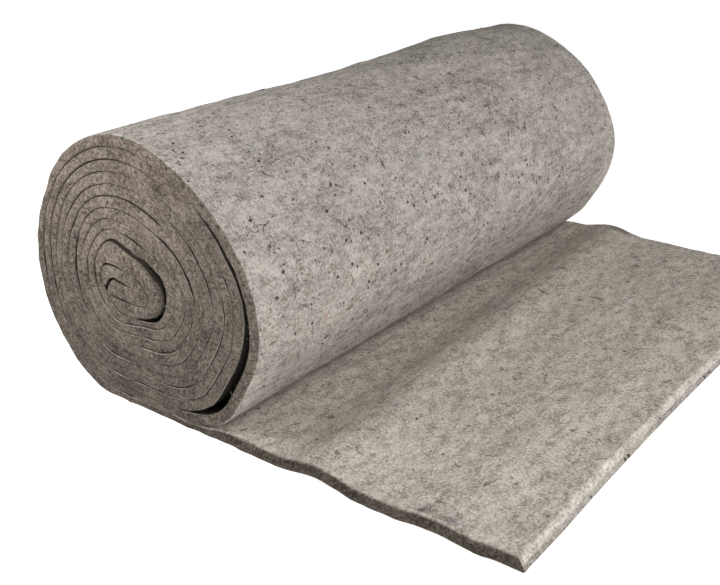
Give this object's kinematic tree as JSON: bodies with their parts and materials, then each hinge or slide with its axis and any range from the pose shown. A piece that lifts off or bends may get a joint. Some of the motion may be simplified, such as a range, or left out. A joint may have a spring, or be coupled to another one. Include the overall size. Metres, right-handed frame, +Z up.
{
  "type": "roll of water storage mat",
  "caption": "Thick grey recycled-fibre felt mat wound into a roll, with its loose end laid out flat on the floor.",
  "frame": {"origin": "on the floor, under the middle of the space that the roll and its loose end take", "axes": "+Y along the roll's axis, away from its open near end; +X from the roll towards the cut edge of the loose end; +Z up"},
  "size_m": [0.8236, 1.006, 0.4018],
  "materials": {
    "felt": "matt needled felt of recycled fibres, mottled grey with dark specks"
  },
  "bodies": {
    "root": {"wound_roll": "felt", "loose_end": "felt"}
  },
  "joints": []
}
